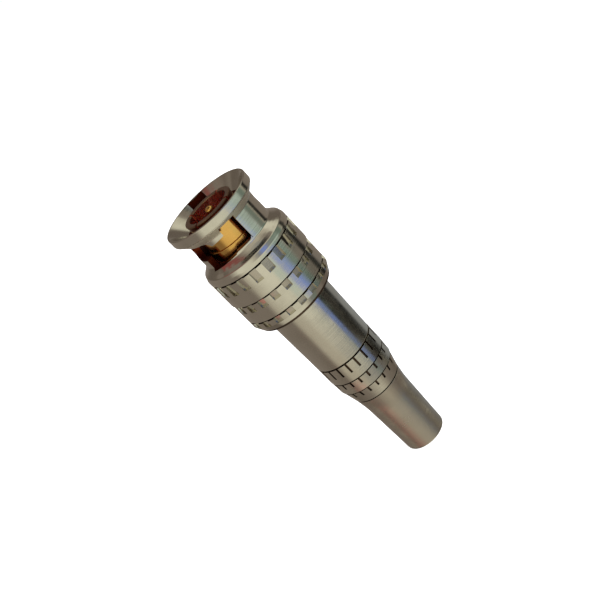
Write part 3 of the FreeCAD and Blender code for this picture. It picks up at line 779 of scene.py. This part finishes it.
def soft_material(name, colour, shade_colour, grain, roughness, depth, glow=0.0, clear=0.0):
    """Plastic or rubber: a grain of this size in mm as tint and bump; glow is the share of light that
    comes back out after GLOW_DEPTH mm, clear the share that passes."""
    material, tree, output = new_material(name)
    place = add(tree, "ShaderNodeTexCoord").outputs["Object"]
    noise = add(tree, "ShaderNodeTexNoise",
                {"Vector": place, "Scale": 1 / (grain * MM), "Detail": 5.0, "Roughness": 0.6})
    tint = add(tree, "ShaderNodeMix", {0: noise.outputs["Fac"], 6: linear(colour), 7: linear(shade_colour)},
               data_type="RGBA")
    bump = add(tree, "ShaderNodeBump",
               {"Height": noise.outputs["Fac"], "Strength": 1.0, "Distance": depth * MM})
    shader = add(tree, "ShaderNodeBsdfPrincipled",
                 {"Base Color": tint.outputs[2], "Roughness": roughness, "IOR": 1.45,
                  "Subsurface Weight": glow, "Subsurface Scale": GLOW_DEPTH * MM,
                  "Transmission Weight": clear, "Normal": bump.outputs["Normal"]})
    tree.links.new(shader.outputs[0], output.inputs[0])
    return material


# Fluoroplastic bar, turned: white and waxy, with light coming back out of its edges.
ptfe = soft_material("turned white fluoroplastic", "#F1EFE8", "#E4E1D8", 0.3, 0.35, 0.004, glow=0.4)
# Moulded silicone: brick red and nearly matt.
silicone = soft_material("red-brown silicone", "#9A4A30", "#86402A", 0.2, 0.5, 0.006, glow=0.2)
# Moulded rubber: black and matt, with the fine grain of its mould.
black_rubber = soft_material("moulded black rubber", "#2A2A2B", "#1D1D1E", 0.15, 0.6, 0.01)
# Drawn tube of uncoloured plastic: milky, smooth, and half clear.
clear_tube = soft_material("natural plastic tube", "#E6E4D8", "#DBD8CA", 0.4, 0.3, 0.004, clear=0.5)
print("soft finishes:", [m.name for m in (ptfe, silicone, black_rubber, clear_tube)])

# %% [markdown]
# Each piece gets its finish by the slot that the construction record gives it. The sleeve, the
# contact tube and the tail nut have several finishes each, so they carry more than one material.

# %% Dress the pieces
BY_SLOT = {"nickel_bright": nickel, "nickel_satin": satin_nickel, "gold_plate": gold,
           "spring_steel": spring_steel, "silicone": silicone, "ptfe": ptfe,
           "clear_tube": clear_tube, "black_rubber": black_rubber}


def dress(piece, *materials):
    """Give a piece these materials in place of those it has."""
    piece.data.materials.clear()
    for material in materials:
        piece.data.materials.append(material)


for part in frame["record"]["subparts"]:
    dress(frame["nodes"][part["node"]], BY_SLOT[part["material_slot"]])
for piece, finish in ((barrel, nickel), (body, gold), (pin, gold), (wave, spring_steel)):
    dress(piece, finish)
# After its first metal, the sleeve carries painted shade, painted light and painted shade again. The contact
# carries three kinds of painted shade, and the tail's third material is painted shade.
dress(sleeve, nickel, shade_on_cut_walls, form_cut_painted_light, shade_in_grooves)
dress(contact, gold, shade_on_cut_walls, lip_gold_in_shade, bore_gold_in_shade)
dress(tail, nickel, satin_nickel, shade_in_grooves)
print("finishes:", {piece.name: len(piece.data.materials) for piece in (sleeve, contact, tail)})

# %% [markdown]
# Which finish a face takes follows from where it is: its distance from the axis, its depth, and how
# far it faces outwards, from 1 on the outside of a cylinder to -1 in a bore. All faces are read at
# once into arrays, and a chooser says which of them take the new finish. Where two choosers pick
# the same face the later one holds.

# %% Choosing faces


def finish_faces(piece, index, choose):
    """Give material number index to the faces that choose(radius, depth, outward) picks, in mm."""
    count = len(piece.data.polygons)
    centre = np.empty(count * 3, np.float32)
    normal = np.empty(count * 3, np.float32)
    chosen = np.empty(count, np.int32)
    piece.data.polygons.foreach_get("center", centre)
    piece.data.polygons.foreach_get("normal", normal)
    piece.data.polygons.foreach_get("material_index", chosen)
    centre, normal = centre.reshape(-1, 3) / MM, normal.reshape(-1, 3)
    radius = np.hypot(centre[:, 0], centre[:, 1])
    outward = (centre[:, :2] * normal[:, :2]).sum(axis=1) / radius
    picked = choose(radius, LENGTH - centre[:, 2], outward)
    chosen[picked] = index
    piece.data.polygons.foreach_set("material_index", chosen)
    piece.data.update()
    return int(picked.sum())


print("faces to choose from on the sleeve:", len(sleeve.data.polygons))

# %% [markdown]
# On the sleeve the walls of the slots and the bore get a dark painted shade, the back of the flange a
# paler colour that is painted light, and the V grooves and the chamfer at the rear end a dull painted
# shade. The rim, the very front and the funnel's own wall, which is known by its slope, stay bright.

# %% Finishes of the sleeve
SIDEWAYS = 0.4
FUNNEL_FACES = (-0.8, -0.6)
RIM_KEPT = 0.35
MOUTH_KEPT = 0.05
GROOVE_EDGE = 0.05


def walls_in_painted_shade(radius, depth, outward):
    """Faces that face sideways or inwards, apart from the rim's own and those of the funnel: they take
    painted shade.
    """
    funnel = (depth < FUNNEL_DEPTH) & (outward > FUNNEL_FACES[0]) & (outward < FUNNEL_FACES[1])
    return (radius < FLANGE_R - RIM_KEPT) & (outward < SIDEWAYS) & (depth > MOUTH_KEPT) & ~funnel


def rear_edge_in_shadow(radius, depth, outward):
    """Faces of the chamfer at the sleeve's rear end, which take the painted shadow."""
    return depth > GRIP_END - REAR_SHADOW


def flange_back_to_lighten(radius, depth, outward):
    """Faces of the cone behind the flange, outside the sleeve's straight wall, which take the paler painted
    light.
    """
    there = (depth > FLANGE_RIM + 0.1) & (depth < FLANGE_BACK + 0.1)
    return there & (outward > SIDEWAYS) & (radius > SLEEVE_R + 0.02)


def grip_grooves_in_shade(radius, depth, outward):
    """Faces down in the grip's three V grooves, which take painted shade."""
    there = np.any([(depth > start) & (depth < start + GROOVE_WIDTH) for start in BAND_STARTS], axis=0)
    return there & (radius < LOWER_R - GROOVE_EDGE) & (radius > LOWER_R - 1)


for index, choose in ((1, walls_in_painted_shade), (3, rear_edge_in_shadow), (2, flange_back_to_lighten), (3, grip_grooves_in_shade)):
    print(choose.__name__, "faces:", finish_faces(sleeve, index, choose))

# %% [markdown]
# The contact tube gets painted shade behind its lip as far as the slot window, on its lip and, rosier,
# in its bore. The tail nut is satin on its tube, and the floors of its slits get a dull painted shade:
# a face is in a slit where it lies below the line of the outside, which the band's own corners give.

# %% Finishes of the contact tube and the tail nut
LIP_DEPTH = 0.2
CLEAR_OF_BORE = 0.1
AFTER = 0.01


def behind_lip_in_shade(radius, depth, outward):
    """Faces of the tube's outside between its lip and the slot window, which take painted shade."""
    return (radius > 3.9) & (depth > CONTACT_FRONT + LIP_DEPTH) & (depth < WINDOW_FRONT - 0.4)


def contact_lip_in_shade(radius, depth, outward):
    """Faces of the tube's front end, which take painted shade."""
    return (radius > 3.2) & (depth < CONTACT_FRONT + LIP_DEPTH)


def contact_bore_in_shade(radius, depth, outward):
    """Faces inside the tube, and the slits' walls, which take the rosier painted shade."""
    return (radius < 4.0) & (depth > CONTACT_FRONT + LIP_DEPTH) & (outward < 0.3)


def tail_tube(radius, depth, outward):
    """Faces of the tail behind its bands, apart from the bore."""
    return (depth > TAIL_END) & (radius > CABLE_BORE_R + CLEAR_OF_BORE)


def tail_slits_in_shade(radius, depth, outward):
    """Faces of the bands and the last groove that lie below the outside, which take painted shade."""
    outside = np.interp(depth, outside_depths, outside_radii)
    there = (depth > BARREL_END) & (depth < TAIL_END + 0.3)
    return there & (radius < outside - GROOVE_EDGE) & (radius > 3.2)


outside_depths = np.append(np.stack([TAIL_STARTS + AFTER, tail_band_ends], axis=1),
                           [TAIL_END + AFTER, TAIL_END + NECK_LENGTH, LENGTH])
outside_radii = np.append(np.stack([TAIL_FRONT_RADII, TAIL_REAR_RADII], axis=1),
                          [NECK_R, TUBE_FRONT_R, TUBE_REAR_R])
for piece, index, choose in ((contact, 1, behind_lip_in_shade), (contact, 2, contact_lip_in_shade), (contact, 3, contact_bore_in_shade),
                             (tail, 1, tail_tube), (tail, 2, tail_slits_in_shade)):
    print(choose.__name__, "faces:", finish_faces(piece, index, choose))

# %% [markdown]
# The floor is a large pale sheet, and the plug stands on it. To the camera it is white, darkened
# only where the plug keeps light off it.

# %% Floor
FLOOR_HALF = 3.0
floor_points = np.array([[-1, -1, 0], [1, -1, 0], [1, 1, 0], [-1, 1, 0]], float) * FLOOR_HALF
floor_mesh = bpy.data.meshes.new("floor")
floor_mesh.from_pydata(floor_points.tolist(), [], [(0, 1, 2, 3)])
floor = bpy.data.objects.new("floor", floor_mesh)
bpy.context.scene.collection.objects.link(floor)
floor_paint, floor_tree, floor_output = new_material("white studio floor")
floor_path = add(floor_tree, "ShaderNodeLightPath")
floor_diffuse = add(floor_tree, "ShaderNodeBsdfDiffuse", {"Color": linear("#E8E8E8")})
floor_glow = add(floor_tree, "ShaderNodeEmission",
                 {"Color": (1, 1, 1, 1), "Strength": floor_path.outputs["Is Camera Ray"]})
floor_mixed = add(floor_tree, "ShaderNodeAddShader", {0: floor_diffuse.outputs[0], 1: floor_glow.outputs[0]})
floor_tree.links.new(floor_mixed.outputs[0], floor_output.inputs[0])
floor_mesh.materials.append(floor_paint)
floor.visible_glossy = False
print("floor side in m:", 2 * FLOOR_HALF)

# %% [markdown]
# Polished metal is a mirror, so what it shows is the room. The room here is a world built like a
# photographer's set: rings of screens at different heights, each ring with pale, coloured and black
# screens at its own bearings. The direction of a reflected ray picks the ring by its height and the
# screen by its bearing, both read from the world's own coordinates, never from the camera. Upright
# walls look down past the plug, so mouth, grip, barrel and tail each see another ring. Each ring in
# RINGS takes over from the one below between its first and its second height. The red screens high
# on the left show in the funnel of the mouth, and the rose one low on the left along the tail.

# %% The room that the metal mirrors
CREAM, WARM, PALE_GREEN, BLUE, TEAL = "#F0EDDD", "#CBC4B5", "#CFE0DA", "#8CA4F2", "#7C8F86"
BLACK, BROWN, GREY, ROSE, SHADE, RED = "#222220", "#8E847C", "#96989A", "#E0958B", "#746A62", "#96504C"
FLOORWARD = ((-150, BROWN), (-120, BROWN), (-106, WARM), (-60, CREAM), (20, CREAM), (38, WARM), (50, GREY),
             (75, TEAL), (85, BROWN), (150, BROWN))
DOWN = ((-120, SHADE), (-60, BROWN), (0, WARM), (60, BROWN), (120, SHADE))
LOW = ((-125, BROWN), (-97, WARM), (-76, ROSE), (-48, ROSE), (-28, WARM), (2, WARM), (40, GREY), (64, GREY),
       (78, WARM), (98, CREAM), (120, BROWN))
NOTCH = ((-125, BROWN), (-98, BROWN), (-72, SHADE), (-50, WARM), (-24, WARM), (-8, GREY), (22, GREY),
         (38, TEAL), (60, SHADE), (90, BLACK), (118, GREY))
TAIL_BAND = ((-125, BROWN), (-84, SHADE), (-72, BROWN), (-52, WARM), (14, WARM), (24, GREY), (36, SHADE),
             (50, BLACK), (92, BLACK), (118, GREY))
BARREL_SIDE = ((-125, BROWN), (-66, BROWN), (-54, WARM), (-30, WARM), (-10, CREAM), (34, CREAM),
               (42, BLUE), (51, BLUE), (58, BLACK), (106, BLACK), (118, GREY), (150, GREY))
GRIP_SIDE = ((-125, BROWN), (-62, BROWN), (-50, WARM), (-32, CREAM), (2, CREAM), (8, PALE_GREEN),
             (21, PALE_GREEN), (28, BLUE), (42, BLUE), (52, TEAL), (64, TEAL), (72, BROWN), (90, BROWN),
             (98, BLACK), (110, BLACK), (118, BROWN), (150, BROWN))
MOUTH_SIDE = ((-125, BROWN), (-62, BROWN), (-45, CREAM), (25, CREAM), (42, PALE_GREEN), (68, PALE_GREEN),
              (78, TEAL), (88, TEAL), (96, WARM), (100, BLACK), (108, BLACK), (114, BROWN), (150, BROWN))
WALL = ((-120, SHADE), (-76, BROWN), (-50, CREAM), (-16, CREAM), (-4, WARM), (10, GREY), (22, BLUE),
        (30, BLUE), (40, GREY), (60, TEAL), (120, SHADE))
HIGH = ((-125, BROWN), (-110, SHADE), (-104, RED), (-90, RED), (-76, BROWN), (0, WARM), (90, CREAM),
        (125, CREAM), (150, BROWN))
HIGHER = ((-120, SHADE), (-98, BROWN), (-92, RED), (-68, RED), (-56, BROWN), (0, WARM), (90, WARM),
          (110, CREAM), (150, BROWN))
HIGHEST = ((-110, BROWN), (-82, BROWN), (-72, RED), (-54, RED), (-44, BROWN), (0, WARM), (60, WARM),
           (84, BROWN), (150, BROWN))
UPPER = ((-125, BROWN), (-66, BROWN), (-58, RED), (-46, RED), (-36, BROWN), (0, WARM), (60, GREY),
         (78, BLACK), (130, BLACK))
CEILING = ((-90, BLACK), (90, BLACK))
RINGS = ((-0.84, -0.81, DOWN), (-0.61, -0.595, LOW), (-0.566, -0.558, NOTCH), (-0.49, -0.48, TAIL_BAND),
         (-0.468, -0.462, BARREL_SIDE), (-0.41, -0.385, GRIP_SIDE), (-0.335, -0.315, MOUTH_SIDE),
         (0.05, 0.2, WALL), (0.5, 0.56, HIGH), (0.69, 0.71, HIGHER), (0.79, 0.81, HIGHEST),
         (0.885, 0.905, UPPER), (0.95, 0.965, CEILING))
print("rings in the room:", len(RINGS) + 1)

# %% The world behind the reflections

world = bpy.data.worlds.new("studio room")
bpy.context.scene.world = world
world.use_nodes = True
room = world.node_tree
room.nodes.clear()
direction = add(room, "ShaderNodeTexCoord").outputs["Generated"]
toward = add(room, "ShaderNodeSeparateXYZ", {0: direction})
minus_y = add(room, "ShaderNodeMath", {0: toward.outputs[1], 1: -1.0}, operation="MULTIPLY")
bearing_of = add(room, "ShaderNodeMath", {0: toward.outputs[0], 1: minus_y.outputs[0]}, operation="ARCTAN2")
share = add(room, "ShaderNodeMapRange",
            {"Value": bearing_of.outputs[0], "From Min": -math.pi, "From Max": math.pi})


def ring_of_screens(stops):
    """Colour output of one ring: screens at these bearings, blended between neighbours."""
    node = add(room, "ShaderNodeValToRGB", {0: share.outputs[0]})
    ramp = node.color_ramp
    for element, (bearing, code) in zip(ramp.elements, (stops[0], stops[-1])):
        element.position = (bearing + 180) / 360
        element.color = linear(code)
    for bearing, code in stops[1:-1]:
        ramp.elements.new((bearing + 180) / 360).color = linear(code)
    return node.outputs[0]


screens = ring_of_screens(FLOORWARD)
for bottom, top, stops in RINGS:
    higher = add(room, "ShaderNodeMapRange",
                 {"Value": toward.outputs[2], "From Min": bottom, "From Max": top})
    screens = add(room, "ShaderNodeMix", {0: higher.outputs[0], 6: screens, 7: ring_of_screens(stops)},
                  data_type="RGBA").outputs[2]
path = add(room, "ShaderNodeLightPath")
sharp = add(room, "ShaderNodeMath",
            {0: path.outputs["Is Glossy Ray"], 1: path.outputs["Is Transmission Ray"]}, operation="MAXIMUM")
even = add(room, "ShaderNodeMix", {0: path.outputs["Is Camera Ray"], 6: linear("#D8D8D8"), 7: (1, 1, 1, 1)},
           data_type="RGBA")
seen = add(room, "ShaderNodeMix", {0: sharp.outputs[0], 6: even.outputs[2], 7: screens},
           data_type="RGBA")
light = add(room, "ShaderNodeBackground", {"Color": seen.outputs[2], "Strength": 1.0})
add(room, "ShaderNodeOutputWorld", {0: light.outputs[0]})
print("nodes in the room:", len(room.nodes))

# %% [markdown]
# One large soft lamp stands above the plug on its right and gives the floor its faint shadow. It
# doesn't show in the metal, which has the room for that. The places are in metres and the lamp's
# power is in watts.

# %% Lamp
LAMP_PLACE = Vector((0.22, -0.05, 0.3))
LAMP_SIZE = 0.25
LAMP_POWER = 0.35
lamp_data = bpy.data.lights.new("soft lamp", "AREA")
lamp_data.shape = "DISK"
lamp_data.size = LAMP_SIZE
lamp_data.energy = LAMP_POWER
lamp = bpy.data.objects.new("soft lamp", lamp_data)
bpy.context.scene.collection.objects.link(lamp)
plug_middle = Vector((0, 0, LENGTH * MM / 2))
lamp.location = LAMP_PLACE
lamp.rotation_euler = (plug_middle - LAMP_PLACE).to_track_quat("-Z", "Y").to_euler()
lamp.visible_glossy = False
print("lamp to plug in m:", round((plug_middle - LAMP_PLACE).length, 3))

# %% [markdown]
# The camera looks down on the plug from the front and is rolled, which is why the plug lies aslant in
# the picture. Its place, tilt and roll were fitted to the ellipses of mouth, flange and tail.

# %% Camera
CAMERA_PLACE = (0.0003, -0.1473, 0.0935)
LOOK_DOWN = 22.9
CAMERA_ROLL = -44.1
SENSOR_WIDTH, LENS = 36, 65.16
NEAREST = 0.005
camera_data = bpy.data.cameras.new("camera")
camera_data.sensor_width = SENSOR_WIDTH
camera_data.lens = LENS
camera_data.clip_start = NEAREST
camera = bpy.data.objects.new("camera", camera_data)
bpy.context.scene.collection.objects.link(camera)
tilt = Matrix.Rotation(math.radians(90 - LOOK_DOWN), 4, "X")
roll = Matrix.Rotation(math.radians(CAMERA_ROLL), 4, "Z")
camera.matrix_world = Matrix.Translation(CAMERA_PLACE) @ tilt @ roll
bpy.context.scene.camera = camera
bpy.context.scene.view_settings.view_transform = "Standard"
print("camera at", CAMERA_PLACE)
